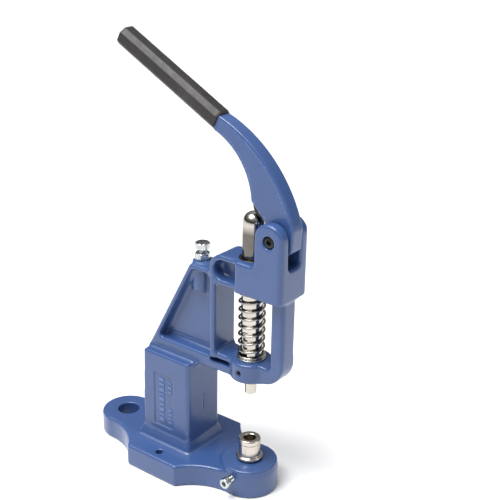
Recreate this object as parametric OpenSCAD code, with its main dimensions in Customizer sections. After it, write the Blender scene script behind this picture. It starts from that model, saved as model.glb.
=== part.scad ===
// Bench arbor press for eyelets and snap fasteners: cast frame, domed ram, return spring, hand lever.
// Origin: underside of the base, straight below the ram. -Y is the die side, +Y the rear lug, +Z up.

/* [Base] */
// Thickness of the base plate
plate_h = 22.5; // [20:0.5:25]
// Width of the middle of the base
plate_w = 103; // [90:1:110]
// Radius of the round front boss under the dies
boss_r = 27.5; // [25:0.5:29]
// Height of the machined top of the front boss
boss_h = 28.5; // [27:0.5:31]
// Radius of the rear mounting lug
lug_r = 27; // [24:0.5:29]
// Distance from the ram axis back to the rear mounting hole
lug_y = 158; // [156:1:162]
// Radius of the rear mounting hole
lug_hole_r = 10.7; // [8:0.1:12]
// Distance between the two side screw holes
side_hole_gap = 81; // [76:1:84]
// Radius of the side screw holes
side_hole_r = 3.6; // [3:0.1:4.5]

/* [Column and web] */
// Width of the column
column_w = 47; // [44:1:50]
// Front face of the column
column_front = 56.2; // [54:0.2:58]
// Rear face of the column at its foot
column_rear = 115.7; // [114:0.1:117]
// Height of the top of the column
column_top = 117; // [115:0.5:119]
// Width across the flanges of the web
flange_w = 28; // [24:1:30]
// Thickness of the thin middle of the web
web_t = 6; // [4:0.5:8]

/* [Head] */
// Width of the head
head_w = 40; // [38:1:42]
// Front face of the head, ahead of the ram axis
head_front = 44.7; // [43:0.1:46]
// Underside of the head
head_bottom = 205.5; // [203:0.5:208]
// Top of the head block, where the fork starts
head_top = 235.7; // [234:0.1:237]
// Width of the slot of the fork
slot_w = 17.4; // [16.8:0.1:18]
// Radius of the round tops of the fork's ears
ear_r = 15; // [14:0.5:16]

/* [Ram] */
// Radius of the ram
ram_r = 10; // [9.6:0.1:10]
// Height of the dome's top at rest
ram_top = 278.4; // [277:0.2:280]
// Radius of the nose that holds the upper die
nose_r = 5.7; // [5:0.1:6]
// Height of the nose's lower face at rest
nose_bottom = 100; // [98:0.5:104]

/* [Spring] */
// Wire diameter of the return spring
wire_d = 2.4; // [2:0.1:2.5]
// Mean radius of the return spring
spring_r = 11.5; // [11.4:0.05:11.6]
// Number of turns of the return spring
spring_turns = 8.5; // [7:0.5:10]

/* [Hand lever] */
// Height of the lever's pivot
pivot_z = 262; // [261:0.2:263]
// Distance of the pivot ahead of the ram axis
pivot_out = 30; // [29.6:0.1:30.4]
// Thickness of the lever
lever_t = 15; // [14:0.2:15.2]
// Swing of the lever from rest to its lowest place
swing = 65; // [60:1:66]
// Ram travel for each radian of lever swing
cam_gain = 29.6; // [29.4:0.1:29.8]
// Length of the grip
grip_l = 125.5; // [110:0.5:130]
// Width of the grip, across the lever's plane
grip_w = 19; // [18:0.2:20]
// Height of the grip, in the lever's plane
grip_h = 17.8; // [17:0.2:19]

/* [Lower die holder] */
// Radius of the die holder's body
holder_r = 10.6; // [10:0.1:11]
// Top of the die holder
holder_top = 50.8; // [48:0.2:54]
// Radius of the socket for the lower die
socket_r = 5.5; // [4:0.1:6]

/* [Hidden] */
$fn = 96;
gap = 0.3;             // clearance between pieces that slide past each other
run = 0.05;            // radial clearance of a running fit
column_draft = 2.8;    // how far the column's rear face leans forward by its top
column_flare = 4.5;    // width of the flared foot of the column
column_flare_h = 10.5;   // height of the flared foot of the column
corner_r = 4;          // radius of the column's upright edges
neck_r = 54.6;         // radius of the concave necks of the base
neck_x = sqrt((neck_r + boss_r) ^ 2 - 25);
web_foot = 130;        // floor of the rear pocket of the web
arm_low = 117.6;       // underside of the lower arm
arm_top = 136;         // top of the lower arm and of the lower ram boss
front_flange = 31.5;   // front face of the web's upright flange
flange_t = 6;          // thickness of the upright flange
front_flange_w = 32;   // width of the upright flange
shoulder = [62.6, 216.3];   // rear top corner of the web, as Y and Z
web_heel = [114.8, 117];    // rear foot of the web, as Y and Z
arm_axis = [23.6, 220.5];   // centre of the round rear end of the upper arm, as Y and Z
arm_r = 14.5;          // half height of the upper arm
arm_w = 31;            // width of the upper arm
arm_pocket_r = 9.4;    // half height of the pocket in the upper arm
pillar_w = 20.4;       // width of the front pillar
pillar_back = 27.8;    // rear face of the front pillar, ahead of the ram axis
pillar_front = 41.3;   // front face of the front pillar
pillar_r = 24;         // radius where the front pillar turns under the ram
low_boss_r = 19.6;     // radius of the lower ram boss
counter_r = 14.4;      // radius of the counterbore in the head for the spring
counter_top = 215;     // ceiling of that counterbore
bush_r = 12.5;         // outer radius of both guide bushes
seat_r = 13.6;         // radius of the spring seat flange
seat_top = 138.5;      // top of the spring seat flange
bolt_y = 58;           // stop bolt, behind the ram axis
bolt_boss_r = 9.5;
bolt_boss = [188, 218];     // lower and upper end of the stop bolt's boss
bolt_r = 3.9;
bolt_hex = 13;         // across flats of the stop bolt and its nut
recess_r = 5.9;        // counterbores of the pivot in the ears
recess_d = 5;
pin_r = 4;             // pivot bolt
hub_bush_r = 6;        // outer radius of the bush in the lever
washer_r = 11;
clamp_z = 18.5;        // height of the die clamp screw
clamp_r = 2.95;
shank_r = 8;           // shank of the die holder in the base
shank_bottom = 8;
key_z = 127;           // height of the ram key screw
key_r = 2.4;
key_depth = 2.2;       // depth of the keyway in the ram
collar_z = 209.5;      // underside of the spring collar
collar_t = 2.4;
stroke = cam_gain * swing * PI / 180;
dome_z = ram_top - ram_r;
grip_start = [37, 352.5];   // where the grip's axis leaves the blade, as Y and Z
grip_slope = 27.8;
grip_chamfer = 4.5;
sleeve_t = 2.2;          // wall of the grip
roller_c = [-12.6, 286.4];  // axis of the roller at rest, as Y and Z
roller_r = 11;
roller_w = 8.4;
roller_pin_r = 3;
blade_r = 129;         // radius of the lever's convex edge
blade_c = [77, 236.5];
waist_r = 63.9;        // radius of the lever's concave edge
waist_c = [62.3, 284.7];

// ---------- helpers ----------
function unit(v) = v / norm(v);
function polar(c, r, a) = c + r * [cos(a), sin(a)];

// Points of an arc around c from angle a0 to a1
function arc(c, r, a0, a1, n = 12) = [for (i = [0:n]) polar(c, r, a0 + (a1 - a0) * i / n)];

// One corner of an outline rounded with radius r
function corner(p0, p1, p2, r, n = 6) =
    let (u = unit(p0 - p1), v = unit(p2 - p1),
         half = acos(u * v) / 2,
         c = p1 + unit(u + v) * r / sin(half),
         a0 = atan2((p1 + u * r / tan(half) - c)[1], (p1 + u * r / tan(half) - c)[0]),
         a1 = atan2((p1 + v * r / tan(half) - c)[1], (p1 + v * r / tan(half) - c)[0]),
         turn = a1 - a0 > 180 ? a1 - a0 - 360 : (a1 - a0 < -180 ? a1 - a0 + 360 : a1 - a0))
    arc(c, r, a0, a0 + turn, n);

// An outline from points [y, z, corner radius]
function rounded(p) = [for (i = [0:len(p) - 1])
    let (q = p[i], a = p[(i + len(p) - 1) % len(p)], b = p[(i + 1) % len(p)])
    each (q[2] > 0 ? corner([a[0], a[1]], [q[0], q[1]], [b[0], b[1]], q[2]) : [[q[0], q[1]]])];

// Draws a Y-Z outline as a plate of width w centred on X = 0
module side(w) {
    rotate([90, 0, 90]) translate([0, 0, -w / 2]) linear_extrude(w) children();
}

// The same plate on both sides, between |X| = inner and |X| = outer
module both_sides(inner, outer) {
    for (s = [-1, 1]) translate([s * (inner + outer) / 2, 0, 0]) side(outer - inner) children();
}

// A cylinder along X from x0 to x1 through the point [y, z]
module cross_cyl(r, x0, x1, p) {
    translate([x0, p[0], p[1]]) rotate([0, 90, 0]) cylinder(h = x1 - x0, r = r);
}

module hex_prism(flats, h) {
    cylinder(h = h, r = flats / sqrt(3), $fn = 6);
}

module ring(r_out, r_in, h) {
    difference() {
        cylinder(h = h, r = r_out);
        translate([0, 0, -1]) cylinder(h = h + 2, r = r_in);
    }
}

// ---------- frame casting ----------
module base_outline() {
    circle(r = boss_r);
    translate([0, lug_y]) circle(r = lug_r);
    difference() {
        translate([-plate_w / 2, 0]) square([plate_w, lug_y]);
        for (s = [-1, 1]) {
            translate([s * neck_x, 5]) circle(r = neck_r);
            translate([s * neck_x, lug_y - 1]) circle(r = neck_r + boss_r - lug_r);
        }
    }
}

module base_plate() {
    linear_extrude(plate_h) base_outline();
    cylinder(h = boss_h, r = boss_r - 0.6);
}

// Plan of the column, grown by g all round
module column_plan(g, h) {
    half = column_w / 2 + g;
    y0 = column_front - g;
    y1 = column_rear + g;
    r = corner_r + g;
    linear_extrude(h) polygon(rounded([
        [-half, y0, r], [half, y0, r], [half, y1, r], [-half, y1, r]]));
}

module column() {
    intersection() {
        column_plan(0, column_top);
        side(column_w + 2) polygon([
            [column_front - 1, plate_h - 1], [column_rear, plate_h - 1],
            [column_rear - column_draft, column_top], [column_front - 1, column_top]]);
    }
    // Flared foot, sloping in on all four sides
    h = plate_h + column_flare_h;
    half = column_w / 2;
    intersection() {
        column_plan(column_flare, h);
        side(2 * column_w) polygon([
            [column_front - column_flare, plate_h - 1], [column_rear + column_flare, plate_h - 1],
            [column_rear - 0.4, h], [column_front, h]]);
        rotate([90, 0, 0]) translate([0, 0, -2 * lug_y]) linear_extrude(3 * lug_y) polygon([
            [-half - column_flare, plate_h - 1], [half + column_flare, plate_h - 1], [half, h], [-half, h]]);
    }
}

// Shallow panel with rounded corners in each side of the column, with plain raised bars
module side_panels() {
    for (s = [-1, 1]) translate([s * column_w / 2, 0, 0]) side(1.8)
        polygon(rounded([[75.5, 39, 3], [99.6, 39, 3], [99.6, 97, 3], [75.5, 97, 3]]));
}

module panel_bars() {
    for (s = [-1, 1], i = [0:3])
        translate([s * (column_w / 2 - 0.6) - 0.5, 80 + i * 4.6, 44]) cube([1, 1.6, 46 - abs(i - 1.5) * 4]);
}

module web_outline() {
    polygon(rounded([
        [web_heel[0], web_heel[1], 0],
        [shoulder[0], shoulder[1], 5],
        [front_flange, shoulder[1], 0],
        [front_flange, web_heel[1], 0]]));
}

module rear_pocket() {
    polygon(rounded([
        [102.4, web_foot, 2.5],
        [60.2, 211.8, 4],
        [front_flange + flange_t, 211.8, 8],
        [front_flange + flange_t, web_foot, 2.5]]));
}

module web() {
    difference() {
        side(flange_w) web_outline();
        both_sides(web_t / 2, flange_w) rear_pocket();
    }
    translate([-front_flange_w / 2, front_flange, web_foot]) cube([front_flange_w, flange_t - 1, 80]);
    translate([0, bolt_y, bolt_boss[0]]) cylinder(h = bolt_boss[1] - bolt_boss[0], r = bolt_boss_r);
}

module upper_arm() {
    difference() {
        side(arm_w) union() {
            translate(arm_axis) circle(r = arm_r);
            translate([0, arm_axis[1] - arm_r]) square([arm_axis[0], 2 * arm_r]);
        }
        both_sides(4, arm_w) union() {
            translate(arm_axis) circle(r = arm_pocket_r);
            translate([6.5, arm_axis[1] - arm_pocket_r]) square([arm_axis[0] - 6.5, 2 * arm_pocket_r]);
        }
    }
}

module lower_arm() {
    difference() {
        side(flange_w) translate([0, arm_low]) square([column_front + 2, arm_top - arm_low]);
        both_sides(6.5, flange_w) polygon(rounded([
            [38, 125.5, 1.5], [38, 131, 1.5], [15, 131, 1.5], [15, 125.5, 1.5]]));
        side(2 * flange_w) polygon([
            [front_flange + flange_t, arm_top + 1], [column_front + 3, arm_top + 1],
            [column_front + 3, web_foot], [front_flange + flange_t, web_foot]]);
    }
    // Fillet under the arm, against the column
    difference() {
        side(flange_w) translate([column_front - 9, arm_low - 9]) square([10, 10]);
        side(flange_w + 2) translate([column_front - 9, arm_low - 9]) circle(r = 9);
    }
    translate([0, 0, arm_low]) cylinder(h = arm_top + 0.5 - arm_low, r = low_boss_r);
}

module head_block() {
    h = head_top - head_bottom;
    for (s = [-1, 1]) translate([s * (head_w / 2 - 4.5), 4.5 - head_front, head_bottom]) cylinder(h = h, r = 4.5);
    translate([-head_w / 2 + 4.5, -head_front, head_bottom]) cube([head_w - 9, 10, h]);
    translate([-head_w / 2, 4.5 - head_front, head_bottom]) cube([head_w, head_front + 1.5, h]);
}

module ear_outline() {
    translate([-head_front, head_top - 1]) square([2 * ear_r, pivot_z + 2 - head_top]);
    translate([ear_r - head_front, pivot_z + 1]) circle(r = ear_r);
}

// Side faces of the ears, with upright front edges rounded like the block's
module ears() {
    difference() {
        both_sides(slot_w / 2, head_w / 2) ear_outline();
        for (s = [-1, 1]) difference() {
            translate([s * head_w / 2 - 4.5, -head_front - 1, head_top - 2]) cube([9, 5.5, 60]);
            translate([s * (head_w / 2 - 4.5), 4.5 - head_front, head_top - 3]) cylinder(h = 62, r = 4.5);
        }
    }
}

module pillar() {
    turn = [-(pillar_front - pillar_r), arm_low + pillar_r + 1];
    h = head_bottom + 1 - turn[1];
    for (s = [-1, 1]) translate([s * (pillar_w / 2 - 4), 4 - pillar_front, turn[1]]) cylinder(h = h, r = 4);
    translate([4 - pillar_w / 2, -pillar_front, turn[1]]) cube([pillar_w - 8, 8, h]);
    translate([-pillar_w / 2, 4 - pillar_front, turn[1]]) cube([pillar_w, pillar_front - pillar_back - 4, h]);
    side(pillar_w) difference() {
        union() {
            translate(turn) circle(r = pillar_r);
            translate([turn[0], turn[1] - pillar_r]) square([20, pillar_r - 1]);
        }
        translate([-pillar_back, arm_top]) square([60, 60]);
    }
}

module frame_bores() {
    // Ram bores, counterbore of the head
    translate([0, 0, arm_low - 1]) cylinder(h = arm_top + 2 - arm_low, r = bush_r);
    translate([0, 0, head_bottom - 1]) cylinder(h = counter_top + 1 - head_bottom, r = counter_r);
    translate([0, 0, counter_top - 1]) cylinder(h = head_top + 2 - counter_top, r = bush_r);
    // Die holder socket and its clamp screw
    translate([0, 0, shank_bottom - 0.5]) cylinder(h = boss_h, r = shank_r + run);
    cross_cyl(clamp_r + run, -boss_r - 3, -shank_r + 1, [0, clamp_z]);
    // Mounting holes
    translate([0, lug_y, -1]) cylinder(h = plate_h + 2, r = lug_hole_r);
    for (s = [-1, 1]) translate([s * side_hole_gap / 2, lug_y / 2, -1]) cylinder(h = plate_h + 2, r = side_hole_r);
    // Stop bolt
    translate([0, bolt_y, bolt_boss[0] + 4]) cylinder(h = 30, r = bolt_r + run);
    // Ram key screw
    cross_cyl(key_r + run, -low_boss_r - 1, -bush_r + 1, [0, key_z]);
    // Pivot bolt
    pivot = [-pivot_out, pivot_z];
    cross_cyl(pin_r + run, -head_w, head_w, pivot);
    cross_cyl(recess_r, -head_w, -head_w / 2 + recess_d, pivot);
    cross_cyl(recess_r + 1.9, head_w / 2 - recess_d, head_w, pivot);
}

module frame_casting() {
    color([0.27, 0.39, 0.63]) difference() {
        union() {
            base_plate();
            difference() {
                column();
                side_panels();
            }
            panel_bars();
            web();
            upper_arm();
            lower_arm();
            head_block();
            ears();
            pillar();
        }
        frame_bores();
    }
}

// ---------- guides and fixed fasteners ----------
module upper_guide_bush() {
    color("darkkhaki") translate([0, 0, counter_top]) ring(bush_r, ram_r + run, head_top - counter_top);
}

module lower_guide_bush() {
    color("darkkhaki") difference() {
        union() {
            translate([0, 0, arm_low]) cylinder(h = seat_top - arm_low, r = bush_r);
            translate([0, 0, arm_top + 0.5]) cylinder(h = seat_top - arm_top - 0.5, r = seat_r);
        }
        translate([0, 0, arm_low - 1]) cylinder(h = 30, r = ram_r + run);
        cross_cyl(key_r + run, -bush_r - 1, -ram_r + 1, [0, key_z]);
    }
}

module ram_key_screw() {
    color("dimgray") difference() {
        cross_cyl(key_r, -low_boss_r + 1.5, -ram_r + key_depth - gap, [0, key_z]);
        translate([-low_boss_r + 1, 0, key_z]) rotate([0, 90, 0]) cylinder(h = 2.5, r = 1.4, $fn = 6);
    }
}

module stop_bolt() {
    color("silver") translate([0, bolt_y, 0]) {
        translate([0, 0, bolt_boss[0] + 9]) cylinder(h = 32, r = bolt_r);
        translate([0, 0, 228.9]) intersection() {
            hex_prism(bolt_hex, 5.5);
            cylinder(h = 5.5, r1 = bolt_hex / 2 + 2, r2 = bolt_hex / 2 + 0.1);
        }
    }
}

module stop_lock_nut() {
    color("silver") translate([0, bolt_y, bolt_boss[1]]) difference() {
        hex_prism(bolt_hex, 6.6);
        translate([0, 0, -1]) cylinder(h = 9, r = bolt_r + run);
    }
}

module pivot_bolt() {
    pivot = [-pivot_out, pivot_z];
    color([0.12, 0.12, 0.12]) difference() {
        union() {
            cross_cyl(pin_r, -head_w / 2 + recess_d, head_w / 2 - 0.6, pivot);
            cross_cyl(recess_r - 0.5, -head_w / 2 + 1, -head_w / 2 + recess_d, pivot);
        }
        translate([-head_w / 2, pivot[0], pivot[1]]) rotate([0, 90, 0]) cylinder(h = 3.8, r = 3.1, $fn = 6);
    }
}

module pivot_nut() {
    color([0.12, 0.12, 0.12]) difference() {
        translate([head_w / 2 - recess_d, -pivot_out, pivot_z]) rotate([0, 90, 0]) hex_prism(13, 4.2);
        cross_cyl(pin_r + run, head_w / 2 - recess_d - 1, head_w / 2 + 1, [-pivot_out, pivot_z]);
    }
}

module thrust_washers() {
    t = (slot_w - lever_t) / 2 - gap;
    color("silver") for (s = [-1, 1])
        translate([s * (slot_w / 2 - t / 2) - t / 2, -pivot_out, pivot_z]) rotate([0, 90, 0]) ring(washer_r, pin_r + run, t);
}

module lower_die_holder() {
    color([0.80, 0.77, 0.72]) difference() {
        union() {
            translate([0, 0, shank_bottom]) cylinder(h = boss_h + 1 - shank_bottom, r = shank_r);
            translate([0, 0, boss_h]) cylinder(h = 2, r = holder_r - 1);
            translate([0, 0, boss_h + 1.5]) cylinder(h = 3, r = holder_r + 2);
            translate([0, 0, boss_h + 4]) cylinder(h = 14, r = holder_r - 0.5);
            translate([0, 0, holder_top - 5]) cylinder(h = 5, r = holder_r);
        }
        translate([0, 0, holder_top - 16]) cylinder(h = 20, r = socket_r);
        // Flat for the clamp screw
        translate([-shank_r - 1, -6, clamp_z - 5]) cube([1.6, 12, 10]);
    }
}

module die_clamp_screw() {
    color("silver") difference() {
        union() {
            cross_cyl(clamp_r, -33, -shank_r + 0.6 - gap, [0, clamp_z]);
            cross_cyl(5.1, -39, -33, [0, clamp_z]);
        }
        translate([-40, 0, clamp_z]) rotate([0, 90, 0]) cylinder(h = 4.2, r = 2.9, $fn = 6);
    }
}

// ---------- ram ----------
module ram() {
    color([0.78, 0.76, 0.73]) difference() {
        union() {
            translate([0, 0, arm_low + 1]) cylinder(h = dome_z - arm_low - 1, r = ram_r);
            translate([0, 0, dome_z]) sphere(r = ram_r);
            translate([0, 0, nose_bottom]) cylinder(h = arm_low + 2 - nose_bottom, r = nose_r);
        }
        // Socket for the upper die
        translate([0, 0, nose_bottom - 1]) cylinder(h = 15, r = 3);
        // Keyway, open over the ram's whole stroke
        translate([-ram_r - 1, -key_r - run, key_z - key_r - 2])
            cube([key_depth + 1, 2 * (key_r + run), stroke + 2 * key_r + 4]);
        // Groove for the retaining ring
        translate([0, 0, collar_z + collar_t]) ring(ram_r + 1, ram_r - 1, 1.3);
    }
}

module spring_collar() {
    color("silver") translate([0, 0, collar_z]) ring(13.4, ram_r + run, collar_t);
}

module retaining_ring() {
    color([0.15, 0.15, 0.15]) translate([0, 0, collar_z + collar_t + 0.05]) difference() {
        ring(12, ram_r - 0.95, 1.2);
        translate([-2, 6, -1]) cube([4, 10, 4]);
    }
}

// Coil spring between the seat flange and the collar, ground flat at both ends
module return_spring() {
    steps = 14;
    low = seat_top + wire_d / 2;
    high = collar_z - wire_d / 2;
    closed = 0.75;
    total = spring_turns + 2 * closed;
    sides = 8;
    count = round(total * steps);
    function lift(t) = t < closed ? 0 : (t > total - closed ? 1 : (t - closed) / spring_turns);
    rings = [for (i = [0:count]) let (t = total * i / count, a = 360 * t)
        [for (j = [0:sides - 1]) let (b = 360 * j / sides)
            [(spring_r + wire_d / 2 * cos(b)) * cos(a), (spring_r + wire_d / 2 * cos(b)) * sin(a),
             low + (high - low) * lift(t) + wire_d / 2 * sin(b)]]];
    color([0.75, 0.73, 0.70]) polyhedron(
        [for (r = rings) each r],
        concat(
            [[for (j = [0:sides - 1]) j]],
            [for (i = [0:count - 1], j = [0:sides - 1])
                [i * sides + j, (i + 1) * sides + j, (i + 1) * sides + (j + 1) % sides, i * sides + (j + 1) % sides]],
            [[for (j = [sides - 1:-1:0]) count * sides + j]]));
}

// ---------- hand lever ----------
module blade_outline() {
    polygon(concat(
        arc(blade_c, blade_r, 108, 164, 30),
        [[-45.5, 253], [-40.5, 248.5]],
        arc([-pivot_out, pivot_z], 17, 256, 401, 16),
        arc(waist_c, waist_r, 175.6, 108, 18)));
}

module grip_frame() {
    translate([0, grip_start[0], grip_start[1]]) rotate([grip_slope, 0, 0]) children();
}

// Eight-sided bar along the grip from y0 to y1, smaller by s all round
module grip_bar(y0, y1, s) {
    w = grip_w / 2 - s;
    h = grip_h / 2 - s;
    c = grip_chamfer - 0.6 * s;
    grip_frame() translate([0, y1, 0]) rotate([90, 0, 0]) linear_extrude(y1 - y0) polygon([
        [w, c - h], [w, h - c], [w - c, h], [c - w, h],
        [-w, h - c], [-w, c - h], [c - w, -h], [w - c, -h]]);
}

module handle_lever() {
    color([0.27, 0.39, 0.63]) difference() {
        union() {
            difference() {
                side(lever_t) blade_outline();
                grip_frame() translate([-20, 0, -30]) cube([40, 80, 60]);
            }
            grip_bar(-1, grip_l - 0.8, sleeve_t);
        }
        cross_cyl(hub_bush_r, -lever_t, lever_t, [-pivot_out, pivot_z]);
        cross_cyl(roller_pin_r, -lever_t / 2 + 1.2, lever_t, roller_c);
        cross_cyl(roller_r + 1, -roller_w / 2 - gap, roller_w / 2 + gap, roller_c);
    }
}

module roller_pin() {
    color("silver") cross_cyl(roller_pin_r, -lever_t / 2 + 1.3, lever_t / 2 - 0.2, roller_c);
}

module cam_roller() {
    color([0.15, 0.15, 0.15]) difference() {
        cross_cyl(roller_r, -roller_w / 2, roller_w / 2, roller_c);
        cross_cyl(roller_pin_r + run, -roller_w, roller_w, roller_c);
    }
}

module pivot_bush() {
    color("darkkhaki") difference() {
        cross_cyl(hub_bush_r, -lever_t / 2, lever_t / 2, [-pivot_out, pivot_z]);
        cross_cyl(pin_r + run, -lever_t, lever_t, [-pivot_out, pivot_z]);
    }
}

module grip() {
    color([0.17, 0.16, 0.16]) difference() {
        grip_bar(0, grip_l, 0);
        grip_bar(-1, grip_l + 1, sleeve_t);
    }
}

frame_casting();
upper_guide_bush();
lower_guide_bush();
ram_key_screw();
stop_bolt();
stop_lock_nut();
pivot_bolt();
pivot_nut();
thrust_washers();
die_clamp_screw();
lower_die_holder();
ram();
spring_collar();
retaining_ring();
return_spring();
handle_lever();
pivot_bush();
roller_pin();
cam_roller();
grip();
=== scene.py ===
"""Bench hand press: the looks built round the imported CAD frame.

Shapes are in millimetres. The camera, the materials and the lights are in metres."""
import math

import bpy
import numpy as np
import openvdb as vdb
from mathutils import Matrix, Vector


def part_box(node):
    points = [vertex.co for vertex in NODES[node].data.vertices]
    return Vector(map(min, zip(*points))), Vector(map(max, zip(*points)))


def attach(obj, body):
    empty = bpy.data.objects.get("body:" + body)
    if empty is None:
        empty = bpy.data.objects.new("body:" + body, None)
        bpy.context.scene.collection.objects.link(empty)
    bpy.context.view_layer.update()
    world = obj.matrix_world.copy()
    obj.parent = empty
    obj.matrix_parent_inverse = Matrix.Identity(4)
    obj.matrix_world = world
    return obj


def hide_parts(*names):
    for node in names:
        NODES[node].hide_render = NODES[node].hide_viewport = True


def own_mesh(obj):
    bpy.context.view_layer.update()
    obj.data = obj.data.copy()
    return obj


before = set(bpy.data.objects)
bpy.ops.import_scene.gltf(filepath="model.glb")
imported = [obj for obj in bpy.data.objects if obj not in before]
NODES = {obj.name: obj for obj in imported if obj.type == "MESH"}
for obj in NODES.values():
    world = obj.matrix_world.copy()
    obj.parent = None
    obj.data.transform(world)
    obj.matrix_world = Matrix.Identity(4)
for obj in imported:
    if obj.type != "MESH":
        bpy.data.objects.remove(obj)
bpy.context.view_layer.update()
MM = 0.001

# ---------------------------------------------------------------- camera
AZ, EL, ROLL = math.radians(-52.84), math.radians(22.44), math.radians(-1.07)
back = Vector((math.sin(AZ) * math.cos(EL), -math.cos(AZ) * math.cos(EL), math.sin(EL)))
right = Vector((math.cos(AZ), math.sin(AZ), 0))
up = back.cross(right)
cr, sr = math.cos(ROLL), math.sin(ROLL)
cam_data = bpy.data.cameras.new("camera")
cam_data.sensor_width = 36
cam_data.lens = 75.15
cam = bpy.data.objects.new("camera", cam_data)
bpy.context.scene.collection.objects.link(cam)
rows = (cr * right - sr * up, sr * right + cr * up, back)
turn = Matrix((rows[0], rows[1], rows[2])).transposed()
cam.matrix_world = Matrix.Translation(Vector((-0.67539, -0.50812, 0.59094))) @ turn.to_4x4()
bpy.context.scene.camera = cam
bpy.context.scene.view_settings.view_transform = "Standard"


# ---------------------------------------------------------------- node helpers
def corners(name):
    """Low and high corner of a CAD node, in millimetres."""
    lo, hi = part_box(name)
    return [v / MM for v in lo], [v / MM for v in hi]


def shader(name):
    m = bpy.data.materials.new(name)
    m.use_nodes = True
    nt = m.node_tree
    return m, nt, nt.nodes["Principled BSDF"]


def add(nt, kind, **values):
    """A node of that kind. Values name a property, or an input when they start with in_."""
    n = nt.nodes.new(kind)
    for k, v in values.items():
        if k.startswith("in_"):
            n.inputs[k[3:].replace("_", " ")].default_value = v
        else:
            setattr(n, k, v)
    return n


def coords(nt, scale=(1, 1, 1)):
    """Object coordinates in metres, stretched."""
    tc = add(nt, "ShaderNodeTexCoord")
    mp = add(nt, "ShaderNodeMapping")
    mp.inputs["Scale"].default_value = scale
    nt.links.new(tc.outputs["Object"], mp.inputs["Vector"])
    return mp.outputs["Vector"]


def noise(nt, vec, scale, detail=2.0, rough=0.5):
    n = add(nt, "ShaderNodeTexNoise", in_Scale=scale, in_Detail=detail, in_Roughness=rough)
    nt.links.new(vec, n.inputs["Vector"])
    return n.outputs["Fac"]


def ramp(nt, fac, stops):
    r = add(nt, "ShaderNodeValToRGB")
    cr_ = r.color_ramp
    while len(cr_.elements) < len(stops):
        cr_.elements.new(0.5)
    for e, (p, c) in zip(cr_.elements, stops):
        e.position = p
        e.color = c if len(c) == 4 else (*c, 1)
    nt.links.new(fac, r.inputs["Fac"])
    return r.outputs["Color"]


def to_range(nt, fac, lo, hi, a=0.0, b=1.0):
    r = add(nt, "ShaderNodeMapRange", in_From_Min=a, in_From_Max=b, in_To_Min=lo, in_To_Max=hi)
    nt.links.new(fac, r.inputs["Value"])
    return r.outputs["Result"]


def bump(nt, heights, bsdf, coat=False):
    """Heights are (socket, distance in metres, strength), laid over one another."""
    last = None
    for h, dist, strength in heights:
        b = add(nt, "ShaderNodeBump", in_Distance=dist, in_Strength=strength)
        nt.links.new(h, b.inputs["Height"])
        if last:
            nt.links.new(last, b.inputs["Normal"])
        last = b.outputs["Normal"]
    nt.links.new(last, bsdf.inputs["Normal"])
    if coat:
        nt.links.new(last, bsdf.inputs["Coat Normal"])


def paint_material():
    """Satin blue enamel over cast iron: soft orange peel, cast waviness, edges lightened as a painted highlight and
    hollows darkened as painted shade.
    """
    m, nt, b = shader("blue_enamel")
    v = coords(nt)
    broad = noise(nt, v, 22, 3, 0.55)
    fine = noise(nt, v, 260, 2, 0.5)
    col = ramp(nt, broad, [(0.3, (0.030, 0.070, 0.200)), (0.7, (0.039, 0.085, 0.234))])
    geo = add(nt, "ShaderNodeNewGeometry")
    # Painted light by pointiness: hollows darkened to 0.72 as painted shade, sharp outer edges lightened up to 1.8
    # times as a painted highlight.
    edge = ramp(nt, geo.outputs["Pointiness"], [(0.0, (0.72, 0.72, 0.72)), (0.47, (0.93, 0.93, 0.93)),
                                               (0.53, (1, 1, 1)), (0.60, (1.8, 1.65, 1.45))])
    mix = add(nt, "ShaderNodeMixRGB", blend_type="MULTIPLY", in_Fac=1.0)
    nt.links.new(col, mix.inputs["Color1"])
    nt.links.new(edge, mix.inputs["Color2"])
    nt.links.new(mix.outputs["Color"], b.inputs["Base Color"])
    nt.links.new(to_range(nt, fine, 0.30, 0.42), b.inputs["Roughness"])
    b.inputs["Specular IOR Level"].default_value = 0.4
    b.inputs["Coat Weight"].default_value = 0.5
    b.inputs["Coat Roughness"].default_value = 0.12
    bump(nt, [(noise(nt, v, 55, 3, 0.5), 0.0009, 0.22), (noise(nt, v, 420, 2, 0.5), 0.00025, 0.22),
              (noise(nt, v, 1500, 1, 0.5), 0.00006, 0.25)], b, coat=True)
    return m


def metal_material(name, light, dark, rough=(0.1, 0.2), grain=(1, 1, 1), grain_scale=500,
                   depth=0.15, speck=0.0, painted_reflection=None):
    """Metal with a fine machined or plated grain. Light and dark are its two tints. The last argument, when given, is a
    list of (height in metres, shade): a dark band painted round a shaft as a reflection, multiplied into its tint over
    those heights."""
    m, nt, b = shader(name)
    v = coords(nt)
    tint = ramp(nt, noise(nt, v, 90, 3, 0.6), [(0.3, dark), (0.7, light)])
    # painted reflection: the tint is darkened by height, standing in for a dark reflection on the shaft
    if painted_reflection:
        sep = add(nt, "ShaderNodeSeparateXYZ")
        nt.links.new(v, sep.inputs["Vector"])
        top = painted_reflection[-1][0]
        shade = ramp(nt, to_range(nt, sep.outputs["Z"], 0, 1, 0, top), [(h / top, (c, c, c)) for h, c in painted_reflection])
        mix = add(nt, "ShaderNodeMixRGB", blend_type="MULTIPLY", in_Fac=1.0)
        nt.links.new(tint, mix.inputs["Color1"])
        nt.links.new(shade, mix.inputs["Color2"])
        tint = mix.outputs["Color"]
    nt.links.new(tint, b.inputs["Base Color"])
    b.inputs["Metallic"].default_value = 1.0
    g = noise(nt, coords(nt, grain), grain_scale, 2, 0.6)
    nt.links.new(to_range(nt, g, rough[0], rough[1], 0.25, 0.75), b.inputs["Roughness"])
    heights = [(g, 0.00005, depth)]
    if speck:
        heights.append((noise(nt, v, 240, 3, 0.6), 0.0002, speck))
    bump(nt, heights, b)
    return m


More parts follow.
